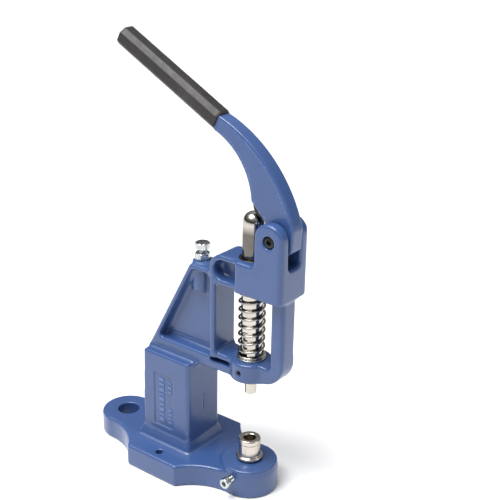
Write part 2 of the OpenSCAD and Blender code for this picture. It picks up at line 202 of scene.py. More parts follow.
def black_material():
    """Black oxide on steel: dark, slightly oily, with a fine grain."""
    m, nt, b = shader("black_oxide")
    v = coords(nt)
    col = ramp(nt, noise(nt, v, 300, 3, 0.6), [(0.3, (0.012, 0.012, 0.013)), (0.75, (0.035, 0.034, 0.035))])
    nt.links.new(col, b.inputs["Base Color"])
    b.inputs["Metallic"].default_value = 0.6
    nt.links.new(to_range(nt, noise(nt, v, 600, 2, 0.5), 0.28, 0.45), b.inputs["Roughness"])
    bump(nt, [(noise(nt, v, 900, 2, 0.6), 0.00005, 0.3)], b)
    return m


def grip_material():
    """Charcoal shrink sleeve: matte, faintly grained, with long soft creases and rubbed spots."""
    m, nt, b = shader("charcoal_sleeve")
    v = coords(nt)
    rub = noise(nt, coords(nt, (1, 0.55, 0.55)), 60, 4, 0.65)
    col = ramp(nt, rub, [(0.25, (0.013, 0.0115, 0.0115)), (0.55, (0.021, 0.018, 0.018)),
                         (0.8, (0.036, 0.031, 0.030))])
    nt.links.new(col, b.inputs["Base Color"])
    nt.links.new(to_range(nt, noise(nt, v, 130, 3, 0.6), 0.42, 0.62), b.inputs["Roughness"])
    b.inputs["Specular IOR Level"].default_value = 0.45
    bump(nt, [(rub, 0.0008, 0.35), (noise(nt, v, 700, 3, 0.6), 0.00012, 0.55)], b)
    return m


def floor_material():
    m, nt, b = shader("studio_paper")
    v = coords(nt)
    col = ramp(nt, noise(nt, v, 3, 2, 0.5), [(0.3, (0.90, 0.90, 0.905)), (0.7, (0.915, 0.915, 0.915))])
    nt.links.new(col, b.inputs["Base Color"])
    b.inputs["Roughness"].default_value = 0.6
    b.inputs["Specular IOR Level"].default_value = 0.25
    bump(nt, [(noise(nt, v, 800, 2, 0.5), 0.0002, 0.05)], b)
    return m


PAINT = paint_material()
# A dark reflection painted onto the ram's chrome, as (height in metres, shade) pairs: darkest between 0.217 and 0.259
# m.
RAM_PAINTED_REFLECTION = [(0.205, 1.0), (0.217, 0.3), (0.259, 0.26), (0.267, 1.0), (0.28, 1.0)]
CHROME = metal_material("ram_chrome", (0.56, 0.53, 0.48), (0.45, 0.42, 0.38),
                        (0.10, 0.20), (1, 1, 0.06), 900, 0.08, painted_reflection=RAM_PAINTED_REFLECTION)
NICKEL = metal_material("holder_nickel", (0.62, 0.57, 0.51), (0.48, 0.43, 0.38),
                        (0.14, 0.26), (0.5, 0.5, 8), 500, 0.14)
WIRE = metal_material("spring_wire", (0.50, 0.47, 0.43), (0.30, 0.28, 0.26),
                      (0.10, 0.22), (1, 1, 1), 900, 0.15)
ZINC = metal_material("bright_zinc", (0.62, 0.65, 0.65), (0.42, 0.45, 0.45),
                      (0.16, 0.32), (1, 1, 1), 700, 0.25, 0.12)
BRONZE = metal_material("bush_bronze", (0.13, 0.11, 0.09), (0.09, 0.08, 0.07),
                        (0.18, 0.32), (0.4, 0.4, 6), 500, 0.2)
BLACK = black_material()
GRIP = grip_material()


# ---------------------------------------------------------------- mesh helpers
def piece(name, verts, faces, material, body, node=None, smooth=35, slot=None):
    """A mesh object from millimetre points, riding on a body and standing for a CAD node."""
    me = bpy.data.meshes.new(name)
    if isinstance(verts, np.ndarray):
        me.from_pydata((verts * MM).tolist(), [], faces)
    else:
        me.from_pydata([(x * MM, y * MM, z * MM) for x, y, z in verts], [], faces)
    me.validate()
    me.materials.append(material)
    ob = bpy.data.objects.new(name, me)
    bpy.context.scene.collection.objects.link(ob)
    finish(ob, smooth)
    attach(ob, body)
    if node:
        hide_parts(node)
    return ob


def finish(ob, angle):
    """Outward normals, smooth faces, and edges sharper than angle kept sharp."""
    import bmesh

    bm = bmesh.new()
    bm.from_mesh(ob.data)
    bmesh.ops.recalc_face_normals(bm, faces=bm.faces)
    limit = math.radians(angle)
    for f in bm.faces:
        f.smooth = True
    for e in bm.edges:
        e.smooth = len(e.link_faces) == 2 and e.calc_face_angle(0) < limit
    bm.to_mesh(ob.data)
    bm.free()


def join_meshes(parts):
    """One list of points and faces from several."""
    verts, faces = [], []
    for v, f in parts:
        n = len(verts)
        verts += list(v)
        faces += [tuple(i + n for i in face) for face in f]
    return verts, faces


def lathe(profile, segments=96, closed=False):
    """Revolves [(radius, height)] about Z. A closed profile makes a ring."""
    verts, faces, rings = [], [], []
    for r, z in profile:
        if r < 1e-6:
            rings.append([len(verts)])
            verts.append((0, 0, z))
        else:
            rings.append(list(range(len(verts), len(verts) + segments)))
            verts += [(r * math.cos(2 * math.pi * i / segments), r * math.sin(2 * math.pi * i / segments), z)
                      for i in range(segments)]
    pairs = list(zip(rings, rings[1:])) + ([(rings[-1], rings[0])] if closed else [])
    for a, b in pairs:
        for i in range(segments):
            j = (i + 1) % segments
            if len(a) == 1 and len(b) > 1:
                faces.append((a[0], b[j], b[i]))
            elif len(b) == 1 and len(a) > 1:
                faces.append((a[i], a[j], b[0]))
            elif len(a) > 1:
                faces.append((a[i], a[j], b[j], b[i]))
    return verts, faces


def eased(profile, r, steps=4, closed=False):
    """The same profile with each corner turned into a small arc. A point's third value is its own radius."""
    out, n = [], len(profile)
    for i, p in enumerate(profile):
        ends = i in (0, n - 1) and not closed
        own = p[2] if len(p) > 2 else r
        p = Vector(p[:2])
        if ends or own <= 0:
            out.append(tuple(p))
            continue
        a, b = Vector(profile[i - 1][:2]), Vector(profile[(i + 1) % n][:2])
        u, v = (a - p), (b - p)
        k = min(own, u.length * 0.45, v.length * 0.45)
        u.normalize()
        v.normalize()
        for s in range(steps + 1):
            t = s / steps
            out.append(tuple((p + u * k) * (1 - t) ** 2 + 2 * t * (1 - t) * p + (p + v * k) * t ** 2))
    return out


def placed(mesh, rot=None, move=(0, 0, 0)):
    """Points turned by a 3x3 matrix and moved."""
    v, f = mesh
    rot = rot or Matrix.Identity(3)
    return [tuple(rot @ Vector(p) + Vector(move)) for p in v], f


ALONG_X = Matrix.Rotation(math.radians(90), 3, "Y")      # a lathe's +Z becomes +X
ALONG_MINUS_X = Matrix.Rotation(math.radians(-90), 3, "Y")


def hexagon_solid(flats, z0, z1, chamfer=0.8, bore=0.0, both=True, socket=None, turn=0.0):
    """A hexagon with chamfered ends, an optional bore, and an optional hexagonal socket (flats, depth)."""
    n = 96
    big = flats / math.sqrt(3)

    def ring(z, cap):
        pts = []
        for i in range(n):
            a = 2 * math.pi * i / n
            k = (a % (math.pi / 3)) - math.pi / 6
            r = min(big * math.cos(math.pi / 6) / math.cos(k), cap)
            pts.append((r * math.cos(a + turn), r * math.sin(a + turn), z))
        return pts

    edge = flats / 2 * 0.97
    top = [(z1 - chamfer * 0.55, big * 1.0), (z1 - chamfer * 0.3, (big + edge) / 2), (z1, edge)]
    eased_low = [(z0, edge), (z0 + chamfer * 0.3, (big + edge) / 2), (z0 + chamfer * 0.55, big)]
    low = eased_low if both else [(z0, big)]
    rings = [ring(z, c) for z, c in low] + [ring(z, c) for z, c in top]
    verts, faces = [], []
    for r in rings:
        verts += r
    for k in range(len(rings) - 1):
        for i in range(n):
            j = (i + 1) % n
            faces.append((k * n + i, k * n + j, (k + 1) * n + j, (k + 1) * n + i))

    def close(start, z, inner, deep, upward):
        """Closes an end: flat, a bore, or a hexagonal socket."""
        nonlocal verts
        last = start
        loops = []
        if inner:
            loops = [[(r * math.cos(2 * math.pi * i / n + turn), r * math.sin(2 * math.pi * i / n + turn), zz)
                      for i in range(n)] for r, zz in inner]
        elif deep:
            fl, dp = deep
            bigs = fl / math.sqrt(3)

            def hx(i, grow):
                a = 2 * math.pi * i / n
                k = (a % (math.pi / 3)) - math.pi / 6
                return (bigs * math.cos(math.pi / 6) / math.cos(k)) + grow, a + turn
            s = -1 if upward else 1
            for grow, zz in ((0.35, z), (0.0, z + s * 0.3), (0.0, z + s * dp)):
                loops.append([(hx(i, grow)[0] * math.cos(hx(i, grow)[1]), hx(i, grow)[0] * math.sin(hx(i, grow)[1]), zz)
                              for i in range(n)])
        for lp in loops:
            base = len(verts)
            verts += lp
            for i in range(n):
                j = (i + 1) % n
                faces.append((last + i, last + j, base + j, base + i))
            last = base
        return last

    end_top = close((len(rings) - 1) * n, z1, [(bore + 0.4, z1), (bore, z1 - 0.4)] if bore else None, socket, True)
    end_low = close(0, z0, [(bore + 0.4, z0), (bore, z0 + 0.4)] if bore else None, None, False)
    if bore:
        for i in range(n):
            j = (i + 1) % n
            faces.append((end_top + i, end_top + j, end_low + j, end_low + i))
    else:
        zt = verts[end_top][2]
        c = len(verts)
        verts.append((0, 0, zt if not socket else zt - 0.8))
        faces += [(end_top + i, end_top + (i + 1) % n, c) for i in range(n)]
        c = len(verts)
        verts.append((0, 0, verts[end_low][2]))
        faces += [(end_low + (i + 1) % n, end_low + i, c) for i in range(n)]
    return verts, faces


def thread(r, pitch, z0, z1, depth, segments=40, taper=1.0):
    """A screw thread as one closed skin, its radius following the helix. It fades out at both ends."""
    per = 10
    rows_ = max(8, int((z1 - z0) / pitch * per))
    verts, faces = [], []
    for k in range(rows_ + 1):
        z = z0 + (z1 - z0) * k / rows_
        fade = min(1, (z - z0) / (taper * pitch), (z1 - z) / (taper * pitch))
        for i in range(segments):
            a = 2 * math.pi * i / segments
            ph = (z / pitch - i / segments) % 1.0
            tri = abs(2 * ph - 1)
            prof = min(1, max(0, (tri - 0.12) / 0.76))
            rr = r - depth * prof * max(fade, 0) - (depth * 1.0 if fade <= 0 else 0)
            verts.append((rr * math.cos(a), rr * math.sin(a), z))
    for k in range(rows_):
        for i in range(segments):
            j = (i + 1) % segments
            faces.append((k * segments + i, k * segments + j, (k + 1) * segments + j, (k + 1) * segments + i))
    faces.append(tuple(range(segments - 1, -1, -1)))
    faces.append(tuple(rows_ * segments + i for i in range(segments)))
    return verts, faces


# ---------------------------------------------------------------- cast shapes from the CAD node
class Solid:
    """A solid as signed distances on a grid of cubes, h millimetres on a side."""

    def __init__(self, h):
        self.h = h
        self.frame = vdb.createLinearTransform(voxelSize=h)

    def from_mesh(self, pts, tris, band, quads=None):
        self.grid = vdb.FloatGrid.createLevelSetFromPolygons(
            np.ascontiguousarray(pts, dtype=np.float32),
            triangles=None if tris is None else np.ascontiguousarray(tris, dtype=np.uint32),
            quads=None if quads is None else np.ascontiguousarray(quads, dtype=np.uint32),
            transform=self.frame, halfWidth=band)
        return self

    def grown(self, r):
        """The solid grown by r, or shrunk when r is below zero, measured afresh."""
        pts, quads = self.grid.convertToQuads(isovalue=float(r))
        quads = quads[:, ::-1]
        return Solid(self.h).from_mesh(pts, None, 3.0 + 7.0, quads)

    def array(self):
        (a, b) = self.grid.evalActiveVoxelBoundingBox()
        lo = np.array(a) - 2
        hi = np.array(b) + 3
        arr = np.full(tuple(hi - lo), self.grid.background, dtype=np.float32)
        self.grid.copyToArray(arr, ijk=tuple(int(v) for v in lo))
        return arr, lo

    def set_array(self, arr, lo):
        g = vdb.FloatGrid(float(self.grid.background))
        g.copyFromArray(arr, ijk=tuple(int(v) for v in lo))
        g.transform = self.frame
        self.grid = g
        return self

    def edit(self, changes):
        """Applies (kind, box, distance function, blend) to the distances. Kind is cut or add."""
        arr, lo = self.array()
        for kind, box, fn, k in changes:
            i0 = np.maximum(np.floor(np.array(box[0]) / self.h).astype(int) - lo, 0)
            i1 = np.minimum(np.ceil(np.array(box[1]) / self.h).astype(int) - lo + 1, arr.shape)
            sl = tuple(slice(a, b) for a, b in zip(i0, i1))
            x, y, z = [((np.arange(a, b) + lo[n]) * self.h).astype(np.float32)
                       for n, (a, b) in enumerate(zip(i0, i1))]
            d = fn(x[:, None, None], y[None, :, None], z[None, None, :])
            s = arr[sl]
            if kind == "cut":
                a_, b_ = s, -d
                w = np.maximum(k - np.abs(a_ - b_), 0) / k if k else 0
                arr[sl] = np.maximum(a_, b_) + w * w * k / 4
            else:
                w = np.maximum(k - np.abs(s - d), 0) / k if k else 0
                arr[sl] = np.minimum(s, d) - w * w * k / 4
        bg = self.grid.background
        np.clip(arr, -bg, bg, out=arr)
        return self.set_array(arr, lo)

    def mesh(self):
        pts, quads = self.grid.convertToQuads(isovalue=0.0)
        return pts, quads[:, ::-1]


def node_triangles(name):
    me = NODES[name].data
    me.calc_loop_triangles()
    pts = np.empty(len(me.vertices) * 3, dtype=np.float32)
    me.vertices.foreach_get("co", pts)
    tris = np.empty(len(me.loop_triangles) * 3, dtype=np.int32)
    me.loop_triangles.foreach_get("vertices", tris)
    return pts.reshape(-1, 3) / MM, tris.reshape(-1, 3)


def cyl(axis, c, r, lo, hi, grow=0.0):
    """Distance function and box of a capped cylinder along an axis (0, 1 or 2), c its two other coordinates."""
    other = [i for i in range(3) if i != axis]
    mid, half = (lo + hi) / 2, (hi - lo) / 2

    def fn(x, y, z):
        p = (x, y, z)
        radial = np.sqrt((p[other[0]] - c[0]) ** 2 + (p[other[1]] - c[1]) ** 2) - r
        along = np.abs(p[axis] - mid) - half
        outside = np.sqrt(np.maximum(radial, 0) ** 2 + np.maximum(along, 0) ** 2)
        return np.minimum(np.maximum(radial, along), 0) + outside

    m = 4 + grow
    box = [[0, 0, 0], [0, 0, 0]]
    box[0][axis], box[1][axis] = lo - m, hi + m
    for i, cc in zip(other, c):
        box[0][i], box[1][i] = cc - r - m, cc + r + m
    return box, fn


def block(lo, hi, r=0.0, grow=3.0):
    """Distance function and box of a box with rounded edges."""
    lo, hi = np.array(lo, float), np.array(hi, float)
    mid, half = (lo + hi) / 2, (hi - lo) / 2 - r

    def fn(x, y, z):
        q = [np.abs(v - m) - h_ for v, m, h_ in zip((x, y, z), mid, half)]
        out = np.sqrt(sum(np.maximum(v, 0) ** 2 for v in q))
        return out + np.minimum(np.maximum(np.maximum(q[0], q[1]), q[2]), 0) - r

    return [list(lo - grow), list(hi + grow)], fn


def op(kind, shape, blend):
    return (kind, shape[0], shape[1], blend)


def big_mesh(name, pts, quads, material):
    """A large quad mesh made straight from arrays."""
    me = bpy.data.meshes.new(name)
    n, q = len(pts), len(quads)
    me.vertices.add(n)
    me.vertices.foreach_set("co", (pts * MM).astype(np.float32).ravel())
    me.loops.add(q * 4)
    me.loops.foreach_set("vertex_index", quads.astype(np.int32).ravel())
    me.polygons.add(q)
    me.polygons.foreach_set("loop_start", np.arange(0, q * 4, 4, dtype=np.int32))
    me.polygons.foreach_set("loop_total", np.full(q, 4, dtype=np.int32))
    me.polygons.foreach_set("use_smooth", np.ones(q, dtype=bool))
    me.update(calc_edges=True)
    me.validate()
    me.materials.append(material)
    ob = bpy.data.objects.new(name, me)
    bpy.context.scene.collection.objects.link(ob)
    return ob


def outward(pts, quads):
    """The quads turned so that the closed mesh encloses a positive volume."""
    a, b, c = pts[quads[:, 0]], pts[quads[:, 1]], pts[quads[:, 2]]
    d = pts[quads[:, 3]]
    vol = np.einsum("ij,ij->i", a, np.cross(b, c)).sum() + np.einsum("ij,ij->i", a, np.cross(c, d)).sum()
    return quads if vol > 0 else quads[:, ::-1]


def fitted(pts, name):
    """Points held inside the CAD node's own box."""
    lo, hi = corners(name)
    return np.clip(pts, np.array(lo, np.float32), np.array(hi, np.float32))


# ---------------------------------------------------------------- frame casting
PIVOT = (-30.0, 262.0)          # Y and Z of the lever's pivot
ROLLER = (-12.6, 286.4)         # Y and Z of the cam roller at rest
AXIS = (0, 0)                   # X and Y of the ram
LUG = (0, 158)                  # X and Y of the rear mounting hole
SIDE_HOLES = ((40.5, 79), (-40.5, 79))
BOLT = (0, 58)                  # X and Y of the stop bolt
PLATE_TOP = 22.5
BOSS_TOP = 28.5
CLAMP = (0, 18.5)               # Y and Z of the die clamp screw
KEY = (0, 127)                  # Y and Z of the ram key screw
CAST_GRID = 0.65                # edge of the cubes the casting is measured on
FILLET = 2.6                    # radius of its inner corners
ROUND = 1.8                     # radius of its outer edges

# The bores are filled before the corners are rounded, and cut again sharp afterwards.
fills = [
    op("add", cyl(2, LUG, 11.6, 0, PLATE_TOP), 0),
    op("add", cyl(2, SIDE_HOLES[0], 4.6, 0, PLATE_TOP), 0),
    op("add", cyl(2, SIDE_HOLES[1], 4.6, 0, PLATE_TOP), 0),
    op("add", cyl(2, AXIS, 9.2, 4, BOSS_TOP), 0),
    op("add", cyl(0, CLAMP, 3.6, -27.2, -5), 0),
    op("add", cyl(2, AXIS, 13.4, 117.6, 136.5), 0),
    op("add", cyl(0, KEY, 3.0, -19.3, -8), 0),
    op("add", cyl(2, AXIS, 15.2, 205.5, 235.7), 0),
    op("add", cyl(2, BOLT, 4.6, 190, 218), 0),
    op("add", cyl(0, PIVOT, 8.6, 8.7, 20), 0),
    op("add", cyl(0, PIVOT, 8.6, -20, -8.7), 0),
    op("add", block((-14, 15, 125.2), (14, 38.3, 131.3)), 0),
    op("add", block((-23.5, 74, 37.5), (23.5, 101, 98.5)), 0),
]


def side_panel(x, y, z):
    """Shallow recess with rounded corners in both sides of the column."""
    qy, qz = np.abs(y - 87.55) - 9.05, np.abs(z - 68) - 26
    flat = np.sqrt(np.maximum(qy, 0) ** 2 + np.maximum(qz, 0) ** 2) + np.minimum(np.maximum(qy, qz), 0) - 3
    return np.maximum(flat, 22.6 - np.abs(x))


def arm_groove(x, y, z):
    """Long pocket in both sides of the lower arm, ending at the round ram boss."""
    qy, qz = np.abs(y - 26.5) - 10, np.abs(z - 128.25) - 1.25
    flat = np.sqrt(np.maximum(qy, 0) ** 2 + np.maximum(qz, 0) ** 2) + np.minimum(np.maximum(qy, qz), 0) - 1.5
    return np.maximum(np.maximum(flat, 6.5 - np.abs(x)), 19.7 - np.sqrt(x * x + y * y))


holes = [
    ("cut", ((-25, 73, 37), (25, 102, 99)), side_panel, 0.4),
    ("cut", ((-16, 13, 123), (16, 40, 133)), arm_groove, 0.9),
    op("cut", cyl(2, LUG, 10.7, -1, 24), 1.6),
    op("cut", cyl(2, SIDE_HOLES[0], 3.6, -1, 24), 1.2),
    op("cut", cyl(2, SIDE_HOLES[1], 3.6, -1, 24), 1.2),
    op("cut", cyl(2, AXIS, 8.1, 7.5, 31), 1.0),
    op("cut", cyl(0, CLAMP, 3.1, -30, -6), 1.2),
    op("cut", cyl(2, AXIS, 12.5, 116, 138), 0.6),
    op("cut", cyl(0, KEY, 2.5, -22, -11), 1.2),
    op("cut", cyl(2, AXIS, 14.4, 204, 215), 1.2),
    op("cut", cyl(2, AXIS, 12.5, 213, 238), 0.8),
    op("cut", cyl(2, BOLT, 4.0, 192, 220), 0.8),
    op("cut", cyl(0, PIVOT, 4.05, -22, 22), 0),
    op("cut", cyl(0, PIVOT, 5.9, -22, -15), 1.2),
    op("cut", cyl(0, PIVOT, 7.8, 15, 22), 1.2),
    # shallow casting line in the column's front face
    op("cut", block((-1.9, 55.6, 60), (-0.9, 57.2, 78), 0.4), 0.5),
]

pts, tris = node_triangles("frame_casting")
cast = Solid(CAST_GRID).from_mesh(pts, tris, 8.0).edit(fills)
cast = cast.grown(FILLET).grown(-FILLET)
cast = cast.grown(-ROUND).grown(ROUND)
cast.edit(holes)
pts, quads = cast.mesh()
pts = fitted(pts, "frame_casting")
body = big_mesh("casting_skin", pts, outward(pts, quads), PAINT)
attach(body, "frame")
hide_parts("frame_casting")

# ---------------------------------------------------------------- lever
LEVER_GRID = 0.5
SLOT_HALF = 4.5                 # half width of the roller's slot
pts, tris = node_triangles("handle_lever")
lever = Solid(LEVER_GRID).from_mesh(pts, tris, 7.0).edit([
    op("add", cyl(0, PIVOT, 6.6, -7.5, 7.5), 0),
    op("add", cyl(0, ROLLER, 3.5, -7.5, -4.4), 0),
    op("add", cyl(0, ROLLER, 3.5, 4.4, 7.5), 0),
])
lever = lever.grown(2.0).grown(-2.0)
lever = lever.grown(-1.3).grown(1.3)
lever.edit([
    op("cut", cyl(0, PIVOT, 6.0, -9, 9), 0.5),
    op("cut", cyl(0, ROLLER, 12.0, -SLOT_HALF, SLOT_HALF), 0.6),
    op("cut", cyl(0, ROLLER, 3.0, -6.3, 9), 0.3),
])
pts, quads = lever.mesh()
pts = fitted(pts, "handle_lever")
blade = big_mesh("lever_skin", pts, outward(pts, quads), PAINT)
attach(blade, "lever")
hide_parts("handle_lever")

# ---------------------------------------------------------------- grip
G0 = Vector((0, 37.0, 352.5))
SLOPE = math.radians(27.8)
GL, GW, GH = 125.5, 19.0, 17.8


def octagon(w, h, c, n_flat=3):
    """Points round an eight-sided section with softened corners."""
    raw = [(w, c - h), (w, h - c), (w - c, h), (c - w, h), (-w, h - c), (-w, c - h), (c - w, -h), (w - c, -h)]
    out = []
    for i, p in enumerate(raw):
        a, b = Vector(raw[i - 1]), Vector(raw[(i + 1) % 8])
        p = Vector(p)
        u, v = (a - p).normalized(), (b - p).normalized()
        k = 0.8
        for s in range(4):
            t = s / 3
            out.append((p + u * k) * (1 - t) ** 2 + 2 * t * (1 - t) * p + (p + v * k) * t ** 2)
        e = p + v * k
        f = b - v * 0.8
        for s in range(1, n_flat + 1):
            out.append(e + (f - e) * s / (n_flat + 1))
    return out


def grip_mesh():
    """The sleeve: softened octagon rings, slightly drawn in near the lever, with open rolled ends."""
    stations = [(0.0, -0.9), (0.15, -0.3), (0.7, 0.0)]
    stations += [(3 + i * 2.5, 0.0) for i in range(49)]
    stations += [(GL - 0.8, 0.0), (GL - 0.2, -0.3), (GL, -0.9)]
    outer, inner = [], []
    for y, inset in stations:
        wob = 0.10 * math.sin(y * 0.19 + 0.6) + 0.07 * math.sin(y * 0.43)
        s = inset - 0.12 + 0.10 * wob
        outer.append((y, octagon(GW / 2 + s, GH / 2 + s, 4.5)))
    for y in (GL, GL - 3, 0.0):
        inner.append((y, octagon(GW / 2 - 2.2, GH / 2 - 2.2, 3.2)))
    loops = outer + [(GL, octagon(GW / 2 - 1.6, GH / 2 - 1.6, 3.5))] + inner[1:]
    loops.append((0.0, octagon(GW / 2 - 1.6, GH / 2 - 1.6, 3.5)))
    verts, faces = [], []
    n = len(loops[0][1])
    cs, sn = math.cos(SLOPE), math.sin(SLOPE)
    for y, ring in loops:
        for x, h in ring:
            verts.append((x, G0.y + y * cs - h * sn, G0.z + y * sn + h * cs))
    m = len(loops)
    for k in range(m):
        for i in range(n):
            j = (i + 1) % n
            faces.append((k * n + i, k * n + j, ((k + 1) % m) * n + j, ((k + 1) % m) * n + i))
    return verts, faces


piece("grip_sleeve", *grip_mesh(), GRIP, "lever", "grip", 50, "grip_black")

# ---------------------------------------------------------------- ram and spring
ram_lo, ram_hi = corners("ram")
R = ram_hi[0]
dome = ram_hi[2] - R
shoulder = 118.6
prof = [(0.0, ram_lo[2] + 13), (2.6, ram_lo[2] + 13, 0), (3.0, ram_lo[2] + 12, 0.3), (3.0, ram_lo[2] + 0.7, 0.2),
        (3.6, ram_lo[2], 0.2), (5.3, ram_lo[2], 0.3), (5.7, ram_lo[2] + 0.5, 0.4), (5.7, shoulder, 0.4),
        (9.4, shoulder, 0.3), (R, shoulder + 0.8, 0.4), (R, 211.9, 0), (9.0, 211.9, 0), (9.0, 213.2, 0), (R, 213.2, 0)]
prof = eased(prof, 0.3)
prof += [(R, 220.0), (R, 240.0), (R, 255.0)] + [(R, dome)]
dome_angles = [math.radians(90 * i / 24) for i in range(1, 24)]
prof += [(R * math.cos(a), dome + R * math.sin(a)) for a in dome_angles] + [(0.0, ram_hi[2])]
ram = piece("ram_skin", *lathe(prof, 128), CHROME, "ram_slider", "ram", 30, "nickel")
# keyway in its left side
cut = bpy.data.meshes.new("keyway")
x0, x1, z0, z1 = -12.0, -7.8, 122.6, 165.0
key_v = [(x * MM, y * MM, z * MM) for x in (x0, x1) for y in (-2.45, 2.45) for z in (z0, z1)]
key_f = [(0, 1, 3, 2), (4, 6, 7, 5), (0, 4, 5, 1), (2, 3, 7, 6), (0, 2, 6, 4), (1, 5, 7, 3)]
cut.from_pydata(key_v, [], key_f)
cutter = bpy.data.objects.new("keyway", cut)
bpy.context.scene.collection.objects.link(cutter)
mod = ram.modifiers.new("keyway", "BOOLEAN")
mod.operation = "DIFFERENCE"
mod.solver = "EXACT"
mod.object = cutter
dg = bpy.context.evaluated_depsgraph_get()
cut_mesh = bpy.data.meshes.new_from_object(ram.evaluated_get(dg))
ram.modifiers.clear()
ram.data = cut_mesh
bpy.data.objects.remove(cutter)


def spring_mesh():
    """Round wire wound on the ram's axis, its end turns closed and ground flat."""
    lo_, hi_ = corners("return_spring")
    wire = 1.2
    mean = 11.5
    turns, closed = 8.5, 0.75
    total = turns + 2 * closed
    steps, sides = 48, 16
    z0_, z1_ = lo_[2] + wire, hi_[2] - wire
    n = int(total * steps)
    verts, faces = [], []
    for i in range(n + 1):
        t = total * i / n
        a = 2 * math.pi * t
        s = min(max((t - closed) / turns, 0), 1)
        z = z0_ + (z1_ - z0_) * s
        for j in range(sides):
            b = 2 * math.pi * j / sides
            rr = mean + wire * math.cos(b)
            zz_ = min(max(z + wire * math.sin(b), lo_[2] + 0.02), hi_[2] - 0.02)
            verts.append((rr * math.cos(a), rr * math.sin(a), zz_))
    for i in range(n):
        for j in range(sides):
            k = (j + 1) % sides
            faces.append((i * sides + j, i * sides + k, (i + 1) * sides + k, (i + 1) * sides + j))
    faces.append(tuple(range(sides)))
    faces.append(tuple(n * sides + j for j in range(sides - 1, -1, -1)))
    return verts, faces


coil = piece("spring_coil", *spring_mesh(), WIRE, "ram_slider", "return_spring", 60, "spring_wire")
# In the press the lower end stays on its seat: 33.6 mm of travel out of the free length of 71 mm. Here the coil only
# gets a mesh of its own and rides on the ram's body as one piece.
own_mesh(coil)


def ring_piece(name, node, r_in, material, body_, slot, ease=0.3):
    """A plain ring standing for a CAD node of the same size."""
    lo_, hi_ = corners(node)
    r_out = hi_[0]
    p = [(r_in, lo_[2]), (r_out, lo_[2]), (r_out, hi_[2]), (r_in, hi_[2])]
    return piece(name, *lathe(eased(p, ease, closed=True), 96, True), material, body_, node, 40, slot)


ring_piece("collar_ring", "spring_collar", 10.05, ZINC, "ram_slider", "zinc", 0.4)
ring_piece("upper_bush_skin", "upper_guide_bush", 10.05, BRONZE, "frame", "bronze", 0.4)
CARRIED = (("ram_key_screw", BLACK), ("retaining_ring", BLACK), ("roller_pin", ZINC), ("pivot_bush", BRONZE))
for name, mat in CARRIED:
    NODES[name].data.materials.clear()
    NODES[name].data.materials.append(mat)

lo_, hi_ = corners("lower_guide_bush")
seat_r = hi_[0]
p = [(10.05, lo_[2]), (12.5, lo_[2]), (12.5, 136.6, 0), (seat_r, 136.6), (seat_r, hi_[2]), (10.05, hi_[2])]
piece("seat_bush_skin", *lathe(eased(p, 0.4, closed=True), 96, True), ZINC,
      "frame", "lower_guide_bush", 40, "plated_seat")

# ---------------------------------------------------------------- lower die holder
lo_, hi_ = corners("lower_die_holder")
zb, zt = 30.0, hi_[2]
p = [(0, lo_[2]), (7.4, lo_[2]), (8.0, lo_[2] + 0.8), (8.0, zb - 1.5, 0), (9.6, zb - 1.5, 0), (9.6, zb, 0), (12.0, zb, 0.4),
     (12.6, zb + 0.7, 0.5), (12.6, zb + 2.0, 0.6), (11.6, zb + 3.0, 0.6), (10.1, zb + 3.0, 0.5), (10.1, zt - 5.2, 0.2),
     (9.9, zt - 5.0, 0.1), (10.6, zt - 4.6, 0.3), (10.6, zt - 0.9, 0.4), (9.8, zt, 0.4), (6.3, zt, 0.3), (5.5, zt - 0.8, 0.3),
     (5.5, zt - 15.5, 0.3), (0, zt - 16)]
piece("die_holder_skin", *lathe(eased(p, 0.3), 128), NICKEL, "frame", "lower_die_holder", 32, "nickel")

# ---------------------------------------------------------------- screws
lo_, hi_ = corners("stop_bolt")
bolt_top = hi_[2]
head = hexagon_solid(12.9, bolt_top - 5.4, bolt_top, 1.2, both=False)
washer_face = lathe(eased([(0, bolt_top - 5.9), (6.2, bolt_top - 5.9), (6.3, bolt_top - 5.3), (0, bolt_top - 5.3)], 0.1), 64)
shank = thread(3.9, 1.25, lo_[2], bolt_top - 5.6, 0.65, 48)
piece("stop_bolt_skin", *placed(join_meshes([head, washer_face, shank]), None, (*BOLT, 0)), ZINC,
      "stop_bolt", "stop_bolt", 32, "zinc")
lo_, hi_ = corners("stop_lock_nut")
nut = hexagon_solid(12.9, lo_[2], hi_[2], 1.1, bore=3.96)
piece("lock_nut_skin", *placed(nut, Matrix.Rotation(0.45, 3, "Z"), (*BOLT, 0)), ZINC,
      "frame", "stop_lock_nut", 32, "zinc")

# pivot bolt: button head with a hexagonal socket on the left, its end and nut on the right
lo_, hi_ = corners("pivot_bolt")
SOCKET_SIDES = 96


def socket_head(r, h, flats, depth, nose=0.5, dome_in=1.2):
    """A round screw head about Z, from z 0 to h, with a hexagonal socket in its top."""
    n = SOCKET_SIDES
    prof_ = [(0, 0), (r, 0), (r, h - dome_in), (r - dome_in * 0.35, h - dome_in * 0.3), (r - dome_in, h)]
    v, f = lathe(eased(prof_, nose), n)
    top_ring = len(v) - n
    loops, last = [], top_ring
    big = flats / math.sqrt(3)
    for grow, z in ((0.35, h), (0.0, h - 0.3), (0.0, h - depth)):
        lp = []
        for i in range(n):
            a = 2 * math.pi * i / n
            k = (a % (math.pi / 3)) - math.pi / 6
            rr = big * math.cos(math.pi / 6) / math.cos(k) + grow
            lp.append((rr * math.cos(a), rr * math.sin(a), z))
        base_ = len(v)
        v += lp
        f += [(last + i, last + (i + 1) % n, base_ + (i + 1) % n, base_ + i) for i in range(n)]
        last = base_
    c = len(v)
    v.append((0, 0, h - depth - 0.9))
    f += [(last + i, last + (i + 1) % n, c) for i in range(n)]
    return v, f


